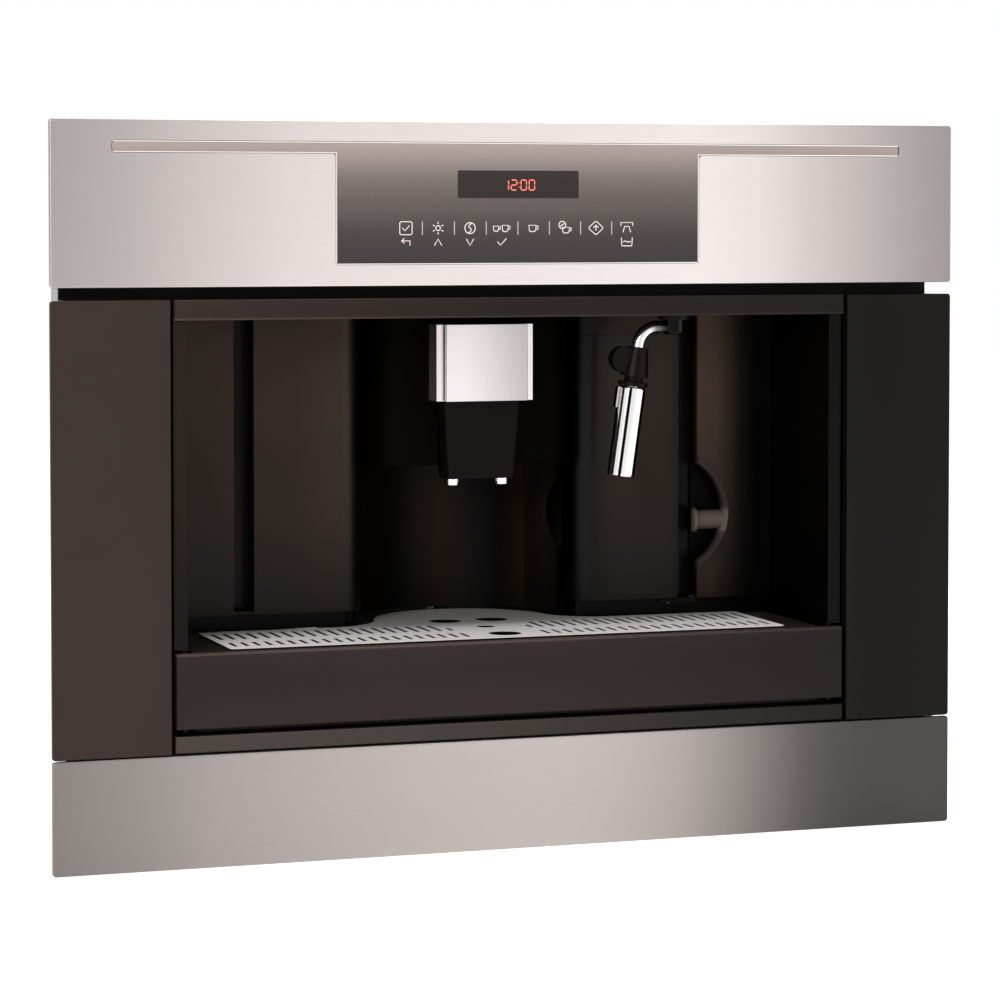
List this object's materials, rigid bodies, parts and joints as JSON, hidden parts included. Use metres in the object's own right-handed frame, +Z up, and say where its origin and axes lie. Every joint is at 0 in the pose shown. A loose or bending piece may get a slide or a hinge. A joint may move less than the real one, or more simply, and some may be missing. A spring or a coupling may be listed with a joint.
{
  "type": "built-in coffee machine",
  "caption": "Built-in coffee machine with touch panel, cup niche, spout, steam wand, drip tray, brew unit, grinder, tank and pull-out rails.",
  "frame": {"origin": "middle of the cabinet niche's front edge at shelf level, where the front plate seats on the cabinet", "axes": "+X to the right as seen from the front, +Y into the cabinet, +Z up"},
  "size_m": [0.594, 0.3945, 0.455],
  "materials": {
    "brushed_steel": "satin, brushed along its length",
    "panel_glass": "gloss, dark printed back",
    "display": "gloss",
    "dark_gloss": "semi-gloss",
    "dark_plastic": "fine grain",
    "chrome": "polished",
    "black_plastic": "satin",
    "lens": "frosted",
    "grid_steel": "satin",
    "float_red": "satin",
    "white_plastic": "satin",
    "ceramic": "ground ceramic",
    "hard_steel": "machined",
    "motor_steel": "zinc-plated",
    "clear_plastic": "clear",
    "silicone": "matt",
    "boiler_aluminium": "cast",
    "board_green": "solder mask",
    "galvanised": "zinc-coated sheet",
    "rail_steel": "zinc-plated"
  },
  "bodies": {
    "rails_fixed": {"fixed_rails": "rail_steel"},
    "rails_mid": {"mid_rails": "rail_steel"},
    "spout": {"spout_block": "black_plastic", "spout_nozzles": "chrome"},
    "wand": {"steam_wand": "chrome", "wand_grip": "black_plastic", "frother_sleeve": "chrome"},
    "wand_ring": {"frother_collar": "black_plastic"},
    "door": {"service_door": "dark_plastic"},
    "tray": {"drip_tray": "dark_plastic", "tray_front": "dark_gloss", "grounds_container": "black_plastic"},
    "cup_grid": {"drip_grid": "grid_steel"},
    "tray_float": {"tray_float": "float_red"},
    "brew_chamber": {"brew_chamber": "white_plastic"},
    "brew_piston": {"brew_piston": "black_plastic"},
    "brew_spindle": {"brew_spindle": "hard_steel"},
    "burr": {"lower_burr": "ceramic"},
    "bean_lid": {"hopper_lid": "black_plastic"},
    "powder_lid": {"preground_lid": "black_plastic"},
    "grind_knob": {"grind_knob": "black_plastic"},
    "tank": {"water_tank": "clear_plastic"},
    "tank_lid": {"tank_lid": "black_plastic"},
    "power_rocker": {"mains_switch": "black_plastic"},
    "appliance": {"control_panel": "brushed_steel", "control_glass": "panel_glass", "display_module": "display", "left_fascia": "dark_gloss", "right_fascia": "dark_gloss", "top_bar": "dark_gloss", "lower_bar": "dark_gloss", "bottom_panel": "brushed_steel", "front_subframe": "galvanised", "niche_liner": "dark_plastic", "left_back_panel": "dark_plastic", "right_back_panel": "dark_plastic", "recess_wall": "dark_plastic", "spout_housing": "black_plastic", "spout_hood": "brushed_steel", "pull_out_grip": "black_plastic", "cup_lamps": "lens", "lower_housing": "dark_plastic", "brew_unit_frame": "white_plastic", "brew_motor": "motor_steel", "grinder_housing": "black_plastic", "upper_burr": "ceramic", "grinder_motor": "motor_steel", "bean_hopper": "black_plastic", "ground_chute": "black_plastic", "pump": "motor_steel", "boilers": "boiler_aluminium", "hoses": "silicone", "power_board": "board_green", "mains_inlet": "black_plastic", "base_pan": "galvanised", "left_side_panel": "galvanised", "right_side_panel": "galvanised", "rear_panel": "galvanised", "top_cover": "galvanised", "slide_rails": "rail_steel"}
  },
  "joints": [
    {"name": "pull_out", "type": "slide", "parent": "rails_fixed", "child": "appliance", "axis": [0, -1, 0], "range_m": [0, 0.3]},
    {"name": "rail_follow", "type": "slide", "parent": "rails_fixed", "child": "rails_mid", "axis": [0, -1, 0], "range_m": [0, 0.15]},
    {"name": "spout_height", "type": "slide", "parent": "appliance", "child": "spout", "axis": [0, 0, 1], "range_m": [0, 0.038]},
    {"name": "wand_swivel", "type": "hinge", "parent": "appliance", "child": "wand", "pos_m": [0.115, 0.008, 0.323], "axis": [0, 0, 1], "range_deg": [-15, 90]},
    {"name": "ring_slide", "type": "slide", "parent": "wand", "child": "wand_ring", "axis": [0.1426, 0, 0.9898], "range_m": [0, 0.003]},
    {"name": "door_hinge", "type": "hinge", "parent": "appliance", "child": "door", "pos_m": [0.141, 0.084, 0.2275], "axis": [0, 0, 1], "range_deg": [0, 95]},
    {"name": "tray_slide", "type": "slide", "parent": "appliance", "child": "tray", "axis": [0, -1, 0], "range_m": [0, 0.23]},
    {"name": "grid_lift", "type": "slide", "parent": "tray", "child": "cup_grid", "axis": [0, 0, 1], "range_m": [0, 0.008]},
    {"name": "float_rise", "type": "slide", "parent": "tray", "child": "tray_float", "axis": [0, 0, 1], "range_m": [0, 0.015]},
    {"name": "chamber_lift", "type": "slide", "parent": "appliance", "child": "brew_chamber", "axis": [0, 0, 1], "range_m": [0, 0.038]},
    {"name": "piston_eject", "type": "slide", "parent": "brew_chamber", "child": "brew_piston", "axis": [0, 0, 1], "range_m": [0, 0.02]},
    {"name": "spindle_turn", "type": "hinge", "parent": "appliance", "child": "brew_spindle", "pos_m": [0.109, 0.208, 0.2], "axis": [0, 0, 1], "range_deg": [0, 1711]},
    {"name": "burr_spin", "type": "hinge", "parent": "appliance", "child": "burr", "pos_m": [0.06, 0.275, 0.34], "axis": [0, 0, 1], "continuous": true},
    {"name": "bean_lid_hinge", "type": "hinge", "parent": "appliance", "child": "bean_lid", "pos_m": [0.06, 0.351, 0.4384], "axis": [-1, 0, 0], "range_deg": [0, 95]},
    {"name": "powder_lid_hinge", "type": "hinge", "parent": "appliance", "child": "powder_lid", "pos_m": [0.112, 0.208, 0.4384], "axis": [-1, 0, 0], "range_deg": [0, 95]},
    {"name": "grind_adjust", "type": "hinge", "parent": "appliance", "child": "grind_knob", "pos_m": [-0.048, 0.275, 0.44], "axis": [0, 0, 1], "range_deg": [-135, 135]},
    {"name": "tank_pull", "type": "slide", "parent": "appliance", "child": "tank", "axis": [1, 0, 0], "range_m": [0, 0.07]},
    {"name": "tank_lid_hinge", "type": "hinge", "parent": "tank", "child": "tank_lid", "pos_m": [0.172, 0.232, 0.3003], "axis": [0, -1, 0], "range_deg": [0, 85]},
    {"name": "rocker", "type": "hinge", "parent": "appliance", "child": "power_rocker", "pos_m": [-0.095, 0.364, 0.092], "axis": [-1, 0, 0], "range_deg": [0, 12]}
  ],
  "couplings": [
    {"joint": "rail_follow", "follows": "pull_out", "ratio": 0.5},
    {"joint": "spindle_turn", "follows": "chamber_lift", "rad_per_m": 785.4}
  ]
}
